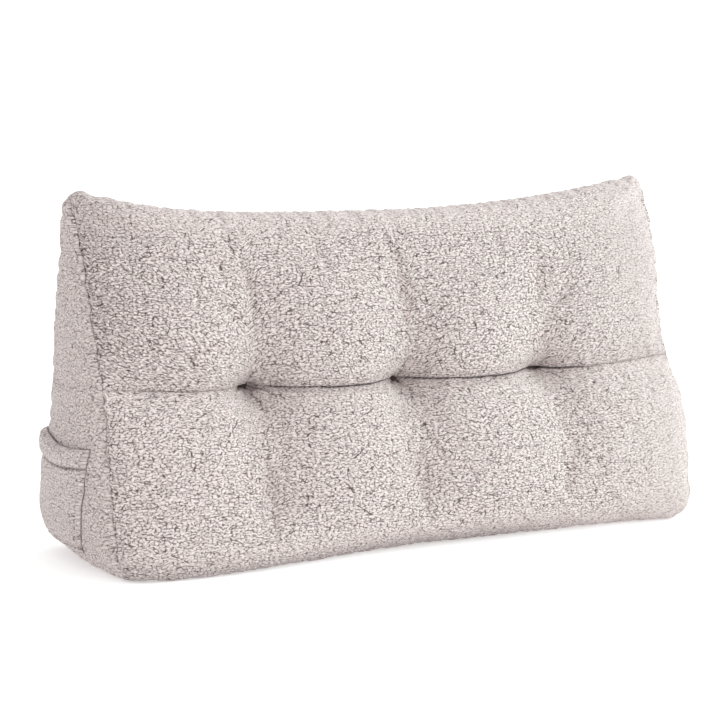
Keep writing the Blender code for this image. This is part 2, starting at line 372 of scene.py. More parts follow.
# The pocket's tip colour is the body's fleece made paler: painted light against the shade on the
# pocket.
POCKET_PAINTED_LIGHT_TIP = (0.81, 0.722, 0.702)
SHADE_COLOUR = (0.11, 0.080, 0.074)

# The studio: a white sky that is brighter to one side, and two softboxes.
BRIGHT_SIDE = (0.9, 0.15, 0.4)
SKY_SLOPE = 0.55
LAMPS = (
    # name, place, target, size, power, colour
    ("key", (1.75, -1.15, 0.75), (0.1, 0.0, 0.22), 1.1, 12.8, (0.80, 1.0, 0.98)),
    ("top", (0.90, -0.10, 2.0), (0.1, 0.0, 0.3), 1.2, 4.0, (0.82, 1.0, 0.98)),
)
FLOOR_SIZE = 40.0
FLOOR_GREY = 0.78
FLOOR_GLOW = 0.39


def limited(value):
    """The value, kept between 0 and 1."""
    return np.clip(value, 0.0, 1.0)


def smooth(value, low, high):
    """0 below low, 1 above high, with a soft start and end."""
    ratio = limited((value - low) / (high - low))
    return ratio * ratio * (3.0 - 2.0 * ratio)


def crown(across, power=LOWER_CROWN_POWER):
    """How full the filling is at a station: 1 over most of the width, 0 at the end seams."""
    return np.sqrt(limited(1.0 - abs(across) ** power))


def hermite(start, end, start_slope, end_slope, span, ratio):
    """A smooth curve between two points with these slopes."""
    rise = ratio * ratio * (3.0 - 2.0 * ratio)
    start_pull = ratio * (1.0 - ratio) ** 2 * start_slope
    end_pull = ratio**2 * (1.0 - ratio) * end_slope
    return start + rise * (end - start) + span * (start_pull - end_pull)


def read_table(rows, column, at):
    """Reads a column of a table between its rows, along a smooth curve."""
    table = np.array(rows)
    places = table[:, 0]
    values = table[:, column]
    slopes = np.gradient(values, places)
    row = np.clip(np.searchsorted(places, at) - 1, 0, len(places) - 2)
    span = places[row + 1] - places[row]
    ratio = limited((at - places[row]) / span)
    return hermite(values[row], values[row + 1], slopes[row], slopes[row + 1], span, ratio)


def end_seam(height, side):
    """X of the end seam at this height, as a distance from the middle."""
    return read_table(ENDS, 1 if side < 0 else 2, height)


def ridge_height(across):
    """The ridge sags between two ears, which round off at the end seams."""
    rise = LEFT_EAR_RISE if across < 0 else RIGHT_EAR_RISE
    power = LEFT_EAR_POWER if across < 0 else RIGHT_EAR_POWER
    ear = max(0.0, (abs(across) - 1.0 + EAR_ROUND) / EAR_ROUND)
    return RIDGE_HEIGHT + rise * abs(across) ** power - EAR_DROP * ear**2


def seam_height(across):
    return SEAM_HEIGHT + SEAM_END_RISE * abs(across) ** 3


def arch(share):
    """An arch from 0 at both ends to 1 halfway, upright where it starts."""
    return np.sqrt(limited(4.0 * share * (1.0 - share)))


def lobe(ratio):
    """A swelling between two seams, from 0 at each to 1 halfway."""
    return limited(4.0 * ratio * (1.0 - ratio)) ** SWELL_POWER


def front_depth(across, height):
    """How far the front stands before (+) or behind (-) the plane of its end seams."""
    seam = seam_height(across)
    top = ridge_height(across) + RIDGE_STRIP
    lower = lobe(limited(height / seam) ** LOWER_FULLNESS)
    upper = lobe(limited((height - seam) / (top - seam)))
    swell = np.where(height < seam, LOWER_SWELL * lower, UPPER_SWELL * upper)
    offsets = np.abs(across * HALF_WIDTH - np.array(TUFTS))
    nearest = offsets.min()
    weights = np.exp(-offsets / TUFT_BLEND)
    weights = weights / weights.sum()
    low_channel = weights @ np.array(LOWER_CHANNELS) * smooth(height, *CHANNEL_START)
    high_channel = weights @ np.array(UPPER_CHANNELS) * (1.0 - smooth(height, *CHANNEL_END))
    channel = np.where(height < seam, low_channel, high_channel)
    tuft_depth = weights @ np.array(TUFT_DEPTHS)
    swell = swell - channel * np.exp(-((nearest / CHANNEL_HALF_WIDTH) ** CHANNEL_POWER))
    fade = smooth(1.0 - abs(across), 0.0, SEAM_FADE)
    away = np.abs(height - seam)
    depth = SEAM_END_DEPTH * crown(across) + (SEAM_DEPTH - SEAM_END_DEPTH) * fade**2
    crease = depth * np.exp(-away / SEAM_REACH)
    lift = SEAM_LIFT * (1.0 - np.exp(-((nearest / SEAM_LIFT_REACH) ** 2))) * fade
    near_seam = smooth(height, *LIFT_START) * (1.0 - smooth(height, *LIFT_END))
    swell = swell + lift * near_seam * (1.0 - np.where(height < seam, lower, upper))
    tuft = tuft_depth * np.exp(-np.hypot(nearest, away) / TUFT_REACH)
    power = np.where(height < seam, LOWER_CROWN_POWER, UPPER_CROWN_POWER)
    flare = FOOT_FLARE * (1.0 - smooth(across, *FOOT_FLARE_SPAN))
    flare = flare * np.exp(-((height / FOOT_FLARE_REACH) ** 2))
    return crown(across, power) * (swell + flare) - crease - tuft


def roll(height, radius):
    """How far a panel is drawn in at this height as it turns under."""
    inside = limited((radius - height) / radius)
    return radius * (1.0 - np.sqrt(1.0 - inside**2))


def front_radius(across):
    """The front turns under sharply at the left end, and softly in the middle."""
    left = LEFT_ROLL + (FRONT_ROLL - LEFT_ROLL) * smooth(across, *LEFT_ROLL_SPAN)
    return left + (RIGHT_ROLL - FRONT_ROLL) * smooth(across, *RIGHT_ROLL_SPAN)


def outline(across):
    """Heights, and the front and back Y at each, of one upright cross-section."""
    top = ridge_height(across)
    height = top * 0.5 * (1.0 - np.cos(np.linspace(0.0, np.pi, FINE)))
    edge = FRONT_FOOT + FRONT_LEAN * height + FRONT_CURL * height**3
    front = edge - front_depth(across, height)
    front = front + roll(height, front_radius(across))
    bow = lobe(height / top)
    back = BACK_FOOT - BACK_LEAN * height + crown(across) * BACK_SWELL * bow
    back = back - roll(height, BACK_ROLL)
    cap = EAR_CAP + (RIDGE_CAP - EAR_CAP) * crown(across)
    above = limited((height - top + cap) / cap)
    close = np.sqrt(limited(1.0 - above**2))
    start = np.searchsorted(height, top - cap)
    middle = 0.5 * (front[start] + back[start])
    front = np.where(above > 0.0, middle + (front[start] - middle) * close, front)
    back = np.where(above > 0.0, middle + (back[start] - middle) * close, back)
    return height, front, back


def lengths_along(curve):
    """Distance of each point from the first, along a curve of points."""
    steps = np.linalg.norm(np.diff(curve, axis=0), axis=1)
    return np.concatenate([[0.0], np.cumsum(steps)])


def resample(curve, count):
    """count + 1 points, evenly spaced along a curve of (y, z) points."""
    length = lengths_along(curve)
    places = np.linspace(0.0, length[-1], count + 1)
    return np.stack([np.interp(places, length, curve[:, k]) for k in (0, 1)], axis=1)


def section(across):
    """The rows of one cross-section: front, back and the strips over the ridge and the base."""
    height, front, back = outline(across)
    top = height[-1]
    cap_start = np.searchsorted(height, top - RIDGE_STRIP)
    seam_row = np.searchsorted(height, seam_height(across))
    front_curve = np.stack([front, height], axis=1)
    back_curve = np.stack([back, height], axis=1)
    lower = resample(front_curve[: seam_row + 1], LOWER_ROWS)
    upper = resample(front_curve[seam_row : cap_start + 1], UPPER_ROWS)
    front_rows = np.concatenate([lower, upper[1:]])
    back_rows = resample(back_curve[: cap_start + 1], LOWER_ROWS + UPPER_ROWS)
    over = np.concatenate([front_curve[cap_start:], back_curve[cap_start:-1][::-1]])
    ridge_row = resample(over, DEEP)
    base_row = np.linspace(front_rows[0], back_rows[0], DEEP + 1)
    return front_rows, back_rows, ridge_row, base_row


def end_panel(front_rows, back_rows, ridge_row, base_row, side):
    """(y, z) of each row and column of an end panel, and how far it swells out there."""
    rows = len(front_rows)
    share = np.linspace(0.0, 1.0, DEEP + 1)
    grid = np.empty((rows, DEEP + 1, 2))
    for row in range(rows):
        grid[row] = front_rows[row] + share[:, None] * (back_rows[row] - front_rows[row])
    grid[0] = base_row
    lift = ridge_row - grid[-1]
    for row in range(rows):
        grid[row] += smooth(row / (rows - 1), END_LIFT_START, 1.0) * lift
    rise = np.linspace(0.0, 1.0, rows)
    full = LEFT_END_SWELL if side < 0 else RIGHT_END_SWELL
    turn = LEFT_END_FOOT if side < 0 else RIGHT_END_FOOT
    width = EAR_SWELL + (full - EAR_SWELL) * (1.0 - rise**END_TAPER)
    foot = np.sqrt(1.0 - (1.0 - limited(rise / turn)) ** 2)
    into_ear = ((rise - EAR_START) / (1.0 - EAR_START)).clip(0.0)
    ear = np.sqrt(limited(1.0 - into_ear**2))
    swell = (width * foot * ear)[:, None] * arch(share)
    return grid, swell


class Points:
    """Vertices that panels share along their seams, found again by place."""

    def __init__(self):
        self.places = []
        self.known = {}

    def add(self, point):
        key = tuple(np.round(point, SAME_PLACE_DIGITS))
        if key not in self.known:
            self.known[key] = len(self.places)
            self.places.append(tuple(float(value) for value in point))
        return self.known[key]

    def grid(self, array):
        flat = [self.add(point) for point in array.reshape(-1, 3)]
        return np.array(flat).reshape(array.shape[:2])


def wander(height, across):
    """How far an end seam strays from its line."""
    shift = WANDER_SHIFT * across
    stray = sum(size * np.sin(FULL_TURN * height / length + shift) for size, length in WANDERS)
    return stray * abs(across) ** WANDER_HUG * smooth(height, 0.0, WANDER_START)


def to_world(across, rows):
    """Puts (y, z) rows at the station's X, which the end seams set."""
    x = across * (end_seam(rows[:, 1], across) + wander(rows[:, 1], across))
    return np.stack([x, rows[:, 0], rows[:, 1]], axis=1)


def lift_corners(places):
    """The base leaves the floor towards its four corners, most at the back."""
    depth = (places[..., 1] - FRONT_FOOT) / (BACK_FOOT - FRONT_FOOT)
    end = smooth(np.abs(places[..., 0]) / HALF_WIDTH, *CORNER_SPAN)
    back = limited((depth - CORNER_BACK_START) / CORNER_BACK_REACH)
    back = back**CORNER_BACK_POWER
    front = CORNER_FRONT_SHARE * limited(1.0 - depth / CORNER_FRONT_REACH) ** 2
    low = limited(1.0 - places[..., 2] / CORNER_LIFT_REACH)
    places[..., 2] += CORNER_LIFT * end * (back + front) * low
    return places


def stations():
    """Stations spaced evenly along the cloth, not across the width."""
    across = np.sin(np.linspace(-0.5, 0.5, STATION_STEPS) * np.pi)
    length = 0.0
    for height in STATION_HEIGHTS:
        depth = np.array([front_depth(place, np.array([height]))[0] for place in across])
        length = length + lengths_along(np.stack([across * HALF_WIDTH, depth], axis=1))
    places = np.interp(np.linspace(0.0, length[-1], ACROSS + 1), length, across)
    places[0] = -1.0
    places[-1] = 1.0
    return places


def body_grids():
    """The body's panels as grids of places, before the pile."""
    places = stations()
    sections = [section(across) for across in places]
    strips = []
    for kind in range(4):
        rows = [to_world(across, part[kind]) for across, part in zip(places, sections)]
        strips.append(lift_corners(np.stack(rows, axis=1)))
    ends = []
    share = np.linspace(0.0, 1.0, DEEP + 1)
    near_seam = (1.0 - arch(share)) ** 2
    for side, edge in ((-1, sections[0]), (1, sections[-1])):
        grid, swell = end_panel(*edge, side)
        stray = wander(grid[:, :, 1], side) * near_seam
        x = side * (end_seam(grid[:, :, 1], side) + stray + swell)
        ends.append(lift_corners(np.stack([x, grid[:, :, 0], grid[:, :, 1]], axis=2)))
    return strips, ends


def quads(index, flip):
    """The faces of a grid of vertex numbers, as an array."""
    corners = [index[:-1, :-1], index[:-1, 1:], index[1:, 1:], index[1:, :-1]]
    faces = np.stack([corner.ravel() for corner in corners], axis=1)
    return faces[:, ::-1] if flip else faces


def mesh_from(name, places, faces):
    """A mesh from an array of places and a list of arrays of faces."""
    mesh = bpy.data.meshes.new(name)
    flat = np.concatenate([group.ravel() for group in faces])
    sizes = np.concatenate([np.full(len(group), group.shape[1]) for group in faces])
    starts = np.concatenate([[0], np.cumsum(sizes)[:-1]])
    mesh.vertices.add(len(places))
    mesh.vertices.foreach_set("co", np.asarray(places, np.float32).ravel())
    mesh.loops.add(len(flat))
    mesh.loops.foreach_set("vertex_index", flat.astype(np.int32))
    mesh.polygons.add(len(sizes))
    mesh.polygons.foreach_set("loop_start", starts.astype(np.int32))
    mesh.update(calc_edges=True)
    mesh.validate()
    mesh.shade_smooth()
    return mesh


def add_object(name, data):
    """A new object, put in the scene."""
    made = bpy.data.objects.new(name, data)
    bpy.context.scene.collection.objects.link(made)
    return made


def vertex_array(mesh, what="co"):
    """A mesh's places, or its normals, as an array."""
    values = np.empty(len(mesh.vertices) * 3, np.float32)
    mesh.vertices.foreach_get(what, values)
    return values.reshape(-1, 3).astype(float)


def make_body():
    """The whole body as one closed mesh, and each panel's grid of vertex numbers in it."""
    strips, ends = body_grids()
    points = Points()
    indices = [points.grid(grid) for grid in (*strips, *ends)]
    flips = (False, True, False, True, True, False)
    faces = [quads(index, flip) for index, flip in zip(indices, flips)]
    mesh = mesh_from("body", np.array(points.places), faces)
    front, back, ridge, base, left, right = indices
    over_front = ridge[1 : RIDGE_SPLIT + 1]
    over_back = ridge[RIDGE_SPLIT:-1][::-1]
    panels = {
        "lower_front_panel": front[: LOWER_ROWS + 1],
        "upper_front_panel": np.concatenate([front[LOWER_ROWS:], over_front]),
        "back_panel": np.concatenate([back, over_back]),
        "base_panel": base,
        "left_gusset": left,
        "right_gusset": right,
    }
    return mesh, panels


def along(points, count):
    """count + 1 rows, evenly spaced by the places in their first three columns."""
    at = lengths_along(points[:, :3])
    slopes = np.gradient(points, at, axis=0)
    places = np.linspace(0.0, at[-1], count + 1)
    row = np.clip(np.searchsorted(at, places, side="right") - 1, 0, len(at) - 2)
    span = (at[row + 1] - at[row])[:, None]
    ratio = (places - at[row])[:, None] / span
    return hermite(points[row], points[row + 1], slopes[row], slopes[row + 1], span, ratio)


def refine(grid, rows, columns):
    """A finer grid through the points of a coarse one."""
    tall = np.stack([along(column, rows) for column in grid.swapaxes(0, 1)], axis=1)
    return np.stack([along(row, columns) for row in tall])


def lengths_over(grid, axis):
    """Distance of each point of a grid from its first one, along one axis."""
    steps = np.linalg.norm(np.diff(grid, axis=axis), axis=2)
    zero = np.zeros_like(np.take(steps, [0], axis=axis))
    return np.concatenate([zero, np.cumsum(steps, axis=axis)], axis=axis)


def blend(first, second, rate):
    return first + (second - first) * rate


def rim(fine, coarse, flip):
    """Triangles that join a fine edge to a coarse one, which has every COARSE-th of its points."""
    faces = []
    for part in range(len(coarse) - 1):
        start = part * COARSE
        half = start + COARSE // 2
        for point in range(start, start + COARSE):
            near = coarse[part] if point < half else coarse[part + 1]
            faces.append((fine[point], near, fine[point + 1]))
        faces.append((fine[half], coarse[part], coarse[part + 1]))
    faces = np.array(faces)
    return faces if flip else faces[:, ::-1]


def shell(name, outer, inner):
    """A closed sheet: a fine outer grid, a coarse inner one and a rim that joins them."""
    rows, columns = outer.shape[:2]
    few_rows, few_columns = inner.shape[:2]
    outer_index = np.arange(rows * columns).reshape(rows, columns)
    inner_index = np.arange(few_rows * few_columns).reshape(few_rows, few_columns)
    inner_index = inner_index + rows * columns
    faces = [
        quads(outer_index, False),
        quads(inner_index, True),
        rim(outer_index[0], inner_index[0], True),
        rim(outer_index[-1], inner_index[-1], False),
        rim(outer_index[:, 0], inner_index[:, 0], False),
        rim(outer_index[:, -1], inner_index[:, -1], True),
    ]
    places = np.concatenate([outer.reshape(-1, 3), inner.reshape(-1, 3)])
    return mesh_from(name, places, faces)


def dashes(at, period):
    """0 to 1, in uneven dashes of about this period."""
    bent = at + DASH_SWAY * period * np.sin(at * DASH_DRIFT / period)
    return 0.5 + 0.5 * np.sin(2.0 * np.pi * bent / period)


def uneven(wave, least):
    """The wave, squeezed between this least value and 1."""
    return least + (1.0 - least) * wave


def lip(distance, radius):
    """How far an edge has rolled down: 1 at the seam, 0 from one radius inside it."""
    inside = 1.0 - limited(distance / radius)
    return 1.0 - np.sqrt(1.0 - inside**2)


def seam_drop(name, x, up, across):
    """Depth below the pile, and shade, of a panel's four edges."""
    drop = np.zeros_like(up)
    shade = np.zeros_like(up)
    distances = (up, up[-1] - up, across, across[:, -1:] - across)
    edges = [[distance, GROOVE, LIP] for distance in distances]
    stitched = dashes(up, STITCH_LENGTH) ** 2
    if "front" in name:
        cross = 1 if name.startswith("lower") else 0
        drawn_in = smooth(x, *DRAWN_IN_FROM) * (1.0 - smooth(x, *DRAWN_IN_TO))
        faint = FAINT_LEAST + FAINT_MORE * dashes(x, FAINT_DASH)
        edges[cross][1] = blend(GROOVE * faint, CREASE, drawn_in)
        edges[cross][2] = blend(LIP, CREASE_LIP, drawn_in)
        edges[2][1] = SIDE_GROOVE * uneven(stitched, LEAST_SIDE)
        line = np.exp(-((np.abs(across - BEAD) / BEAD_WIDTH) ** 2))
        bead = BEAD_GROOVE * line * uneven(dashes(up, BEAD_DASH), LEAST_BEAD)
        drop += bead
        shade += BEAD_SHADE * bead / BEAD_GROOVE
    if "gusset" in name:
        edges[2][1] = edges[3][1] = GROOVE * uneven(stitched, LEAST_GUSSET)
    for distance, depth, radius in edges:
        drop = np.maximum(drop, depth * lip(distance, radius))
        narrow = np.exp(-((distance / SHADE_WIDTH) ** 2))
        shade = np.maximum(shade, SEAM_SHADE * narrow * (depth / CREASE) ** 2)
    return drop, shade


def pull_line(tuft, to_x, to_up, x, above):
    """0 to 1 over the cloth, along one crease that runs from a tuft."""
    length = np.hypot(to_x, to_up)
    from_tuft = x - TUFTS[tuft]
    along_it = (from_tuft * to_x + above * to_up) / length
    stray = sum(size * np.sin(along_it * rate + shift * tuft) for size, rate, shift in PULL_WAVES)
    off = (from_tuft * to_up - above * to_x) / length - stray
    ends = smooth(along_it, *PULL_START) * (1.0 - smooth(along_it, PULL_FADE * length, length))
    broken = uneven(dashes(along_it, PULL_DASH), LEAST_PULL)
    return ends * broken * np.exp(-((off / PULL_WIDTH) ** 2))


def tuft_drop(name, x, from_seam):
    """Pits where the ties pull the cloth in, and the creases that run from them."""
    drop = np.zeros_like(x)
    shade = np.zeros_like(x)
    for tuft, deep in zip(TUFTS, TUFT_DEPTHS):
        away = np.hypot((x - tuft) * PIT_STRETCH, from_seam)
        full = deep / TUFT_DEPTHS[0]
        drop += PIT_DEPTH * full * np.exp(-((away / (PIT_REACH * full)) ** 2))
        shade += PIT_SHADE * np.exp(-((away / (PIT_SHADE_REACH * PIT_REACH * full)) ** 2))
    side = -1.0 if name.startswith("lower") else 1.0
    for tuft, to_x, to_up, depth in PULLS:
        if to_up * side > 0.0:
            crease = pull_line(tuft, to_x, to_up, x, from_seam * side)
            drop += PULL_DROP * depth * crease
            shade += PULL_SHADE * crease
    return drop, shade


def stillness(name, x, height, calm):
    """How flat and even the pile lies: more at the right end, along the foot and the ridge."""
    still = np.full_like(x, calm)
    if "front" in name:
        still = np.maximum(still, RIGHT_STILL * smooth(x, *RIGHT_STILL_REACH))
        still = np.maximum(still, FOOT_STILL * (1.0 - smooth(height, *FOOT_STILL_HEIGHTS)))
        still = np.maximum(still, RIDGE_STILL * smooth(height, *RIDGE_STILL_HEIGHTS))
        for tuft in TUFTS:
            away = np.hypot(x - tuft + TUFT_STILL_SHIFT, height - SEAM_HEIGHT)
            still = np.maximum(still, TUFT_STILL * np.exp(-((away / TUFT_STILL_REACH) ** 2)))
    return still


def painted_light_and_shade(name, x, height, up):
    """How much painted light (+) or painted shade (-) a panel takes, place by place."""
    lift = np.zeros_like(x)
    if "front" in name:
        # Painted shade at the right end of the front.
        lift -= RIGHT_PAINTED_SHADE * smooth(x, *RIGHT_PAINTED_SHADE_REACH)
    if name.startswith("upper"):
        # Painted shade at the left end of the upper panel, above the cross seam.
        above_seam = smooth(height, *LEFT_PAINTED_SHADE_HEIGHTS)
        lift -= LEFT_PAINTED_SHADE * (1.0 - smooth(x, *LEFT_PAINTED_SHADE_REACH)) * above_seam
        # Painted light along the ridge.
        lift += RIDGE_PAINTED_LIGHT * smooth(height, *RIDGE_PAINTED_LIGHT_HEIGHTS)
    if name.startswith("lower"):
        # Painted light over the lower panel, most in the strip just below the cross seam.
        start, end = (up[-1] - below for below in SHELF_PAINTED_LIGHT_BELOW)
        lift += LOWER_PAINTED_LIGHT + SHELF_PAINTED_LIGHT * smooth(up, start, end)
    return lift


def dress(name, mesh, cloth, out, look):
    """Makes the piece, and stores what its pile and material read on the mesh."""
    for title, values in (("cloth", cloth), ("out", out), ("look", look)):
        whole = np.zeros((len(mesh.vertices), 3), np.float32)
        whole[: values.shape[0] * values.shape[1]] = values.reshape(-1, 3)
        stored = mesh.attributes.new(title, "FLOAT_VECTOR", "POINT")
        stored.data.foreach_set("vector", whole.ravel())
    return add_object(name, mesh)


def raise_pile(piece, group):
    """Moves the cloth by the height of its pile, and flattens it where it meets the floor."""
    modifier = piece.modifiers.new("pile", "NODES")
    modifier.node_group = group
    graph = bpy.context.evaluated_depsgraph_get()
    raised = bpy.data.meshes.new_from_object(piece.evaluated_get(graph))
    piece.modifiers.remove(modifier)
    plain = piece.data
    piece.data = raised
    bpy.data.meshes.remove(plain)
    raised.name = piece.name
    places = vertex_array(raised)
    places[:, 2] = np.maximum(places[:, 2] - SINK, 0.0)
    raised.vertices.foreach_set("co", places.astype(np.float32).ravel())
    raised.update()


def panel_looks(name, x, height, up, across, calm):
    """How deep each place of a panel lies below its pile, and its look: painted shade, stillness,
    and a lift of painted light or shade.
    """
    drop, shade = seam_drop(name, x, up, across)
    if "front" in name:
        from_seam = up[-1] - up if name.startswith("lower") else up
        more_drop, more_shade = tuft_drop(name, x, from_seam)
        drop = drop + more_drop
        shade = shade + more_shade
    ridge_fade = smooth(height, *RIDGE_FADE)
    drop = drop * (1.0 - RIDGE_DROP_LOSS * ridge_fade)
    shade = shade * (1.0 - RIDGE_SHADE_LOSS * ridge_fade)
    if "front" in name:
        foot = 1.0 - smooth(height, *FOOT_SHADE_HEIGHTS)
        shade = shade + FOOT_SHADE * foot * (1.0 - smooth(x, *FOOT_SHADE_END))
    shade = limited(shade)
    still = stillness(name, x, height, calm)
    return drop, np.stack([shade, still, painted_light_and_shade(name, x, height, up)], axis=-1)


def make_panel(name, rows, columns, flip, cloth_place, calm, grid, centre):
    """One panel of the cover, from its grid of the body's places and normals."""
    fine = refine(grid, rows, columns)
    places = fine[..., :3]
    normals = fine[..., 3:]
    normals = normals / np.linalg.norm(normals, axis=2, keepdims=True)
    up = lengths_over(places, 0)
    across = lengths_over(places, 1)
    drop, look = panel_looks(name, places[..., 0] - centre, places[..., 2], up, across, calm)
    flat = limited(1.0 - drop / GROOVE)
    outer = places - normals * drop[..., None]
    inner = (places - normals * (drop + BACKING)[..., None])[::COARSE, ::COARSE]
    if "gusset" in name:
        cloth = (places[..., 1] + cloth_place, places[..., 2], np.zeros_like(up))
    else:
        middle = across - across[:, -1:] * 0.5
        cloth = (middle + cloth_place, up, np.zeros_like(up))
    cloth = np.stack(cloth, axis=2)
    out = normals * (flat * (1.0 - STILL_RELIEF * look[..., 1]))[..., None]
    if flip:
        parts = (outer, inner, cloth, out, look)
        outer, inner, cloth, out, look = (part[:, ::-1] for part in parts)
    return dress(name, shell(name, outer, inner), cloth, out, look)


def node(tree, kind, **settings):
    """A new node with these settings."""
    made = tree.nodes.new(kind)
    for name, value in settings.items():
        setattr(made, name, value)
    return made


def link(tree, value, socket):
    """Gives a socket a plain value, or the output of another node."""
    if isinstance(value, (int, float, tuple)):
        socket.default_value = value
    else:
        tree.links.new(value, socket)


def calculate(tree, operation, *values, kind="ShaderNodeMath"):
    """The result of a math node on plain values or other nodes' outputs."""
    made = node(tree, kind, operation=operation)
    for socket, value in zip(made.inputs, values):
        link(tree, value, socket)
    return made.outputs[0]


def move_vector(tree, operation, *values):
    return calculate(tree, operation, *values, kind="ShaderNodeVectorMath")


def set_inputs(made, **values):
    """Gives plain values to a node's inputs, whose names are written with underscores."""
    for title, value in values.items():
        made.inputs[title.replace("_", " ")].default_value = value


def noise(tree, vector, size, output="Fac"):
    """Soft noise whose cells have this size: one value, or three as a colour."""
    made = node(tree, "ShaderNodeTexNoise")
    set_inputs(made, Scale=1.0 / size, Detail=0.0)
    link(tree, vector, made.inputs["Vector"])
    return made.outputs[1 if output == "Color" else 0]


def crack_lines(tree, vector, size, width):
    """1 on the edges between cells of this size, 0 a share of the cell away from them."""
    made = node(
        tree, "ShaderNodeTexVoronoi", feature="DISTANCE_TO_EDGE", voronoi_dimensions="2D"
    )
    set_inputs(made, Scale=1.0 / size, Randomness=UNEVEN_CELLS)
    link(tree, vector, made.inputs["Vector"])
    return step(tree, made.outputs["Distance"], 0.0, width, 1.0, 0.0)


def step(tree, value, low, high, at_low=0.0, at_high=1.0):
    """A soft step from one value to another as the input passes from low to high."""
    made = node(tree, "ShaderNodeMapRange", interpolation_type="SMOOTHSTEP")
    link(tree, value, made.inputs["Value"])
    set_inputs(made, From_Min=low, From_Max=high, To_Min=at_low, To_Max=at_high)
    return made.outputs["Result"]


def short_cracks(tree, flat, bent):
    """Cracks between neighbouring clumps, which fade and come back."""
    shown = step(tree, noise(tree, flat, CLUMP * BREAK_CELL), *BREAK_RANGE, BREAK_LEAST, 1.0)
    return calculate(tree, "MULTIPLY", crack_lines(tree, bent, CLUMP, CRACK_WIDTH), shown)


def long_cracks(tree, flat, bent):
    """A few longer cracks that part several clumps."""
    shown = step(tree, noise(tree, flat, CLUMP * RARE_CELL), *RARE_RANGE)
    wide = move_vector(tree, "MULTIPLY", bent, (LONG_CRACK_STRETCH, 1.0, 1.0))
    lines = crack_lines(tree, wide, LONG_CRACK_CELL, LONG_CRACK_WIDTH)
    return calculate(tree, "MULTIPLY", calculate(tree, "MULTIPLY", lines, shown), LONG_CRACK_DEPTH)


def worm_cracks(tree, flat):
    """Cracks that wander, along the lines where a soft noise crosses its middle value."""
    slack = move_vector(tree, "MULTIPLY", flat, (WORM_STRETCH, 1.0, 1.0))
    level = calculate(tree, "SUBTRACT", noise(tree, slack, WORM), 0.5)
    lines = step(tree, calculate(tree, "ABSOLUTE", level), 0.0, WORM_WIDTH, WORM_DEPTH, 0.0)
    shown = step(tree, noise(tree, slack, WORM * WORM_BREAK_CELL), *WORM_BREAK_RANGE)
    return calculate(tree, "MULTIPLY", lines, shown)


def pile_nodes(tree, cloth):
    """Cracks between the clumps (0 to 1), and the curls and fibres on them (about -1 to 1)."""
    flat = move_vector(tree, "MULTIPLY", cloth, (1.0 / CLUMP_STRETCH, 1.0, 1.0))
    wobble = noise(tree, flat, CLUMP * WOBBLE_CELL, "Color")
    wobble = move_vector(tree, "SUBTRACT", wobble, (0.5, 0.5, 0.5))
    wobble = move_vector(tree, "MULTIPLY", wobble, (WOBBLE * CLUMP,) * 3)
    bent = move_vector(tree, "ADD", flat, wobble)
    cracks = calculate(
        tree, "MAXIMUM", short_cracks(tree, flat, bent), long_cracks(tree, flat, bent)
    )
    cracks = calculate(tree, "MAXIMUM", cracks, worm_cracks(tree, flat))
    curls = calculate(tree, "SUBTRACT", noise(tree, flat, CURL), 0.5)
    fibres = calculate(tree, "SUBTRACT", noise(tree, flat, FIBRE), 0.5)
    grain = calculate(tree, "MULTIPLY_ADD", fibres, FIBRE_SHARE, curls)
    return cracks, grain


def pile_group():
    """Geometry nodes that lift the clumps and sink the cracks between them."""
    tree = bpy.data.node_groups.new("pile", "GeometryNodeTree")
    tree.interface.new_socket("Geometry", in_out="INPUT", socket_type="NodeSocketGeometry")
    tree.interface.new_socket("Geometry", in_out="OUTPUT", socket_type="NodeSocketGeometry")
    start = node(tree, "NodeGroupInput")
    end = node(tree, "NodeGroupOutput")
    read = {}
    for name in ("cloth", "out"):
        made = node(tree, "GeometryNodeInputNamedAttribute", data_type="FLOAT_VECTOR")
        set_inputs(made, Name=name)
        read[name] = made.outputs["Attribute"]
    cracks, grain = pile_nodes(tree, read["cloth"])
    grain = calculate(tree, "MULTIPLY", grain, GRAIN_RELIEF)
    height = calculate(tree, "SUBTRACT", grain, cracks)
    height = calculate(tree, "MULTIPLY", height, RELIEF)
    offset = node(tree, "ShaderNodeVectorMath", operation="SCALE")
    link(tree, read["out"], offset.inputs[0])
    link(tree, height, offset.inputs["Scale"])
    lift = node(tree, "GeometryNodeSetPosition")
    link(tree, start.outputs[0], lift.inputs["Geometry"])
    link(tree, offset.outputs[0], lift.inputs["Offset"])
    link(tree, lift.outputs[0], end.inputs[0])
    return tree


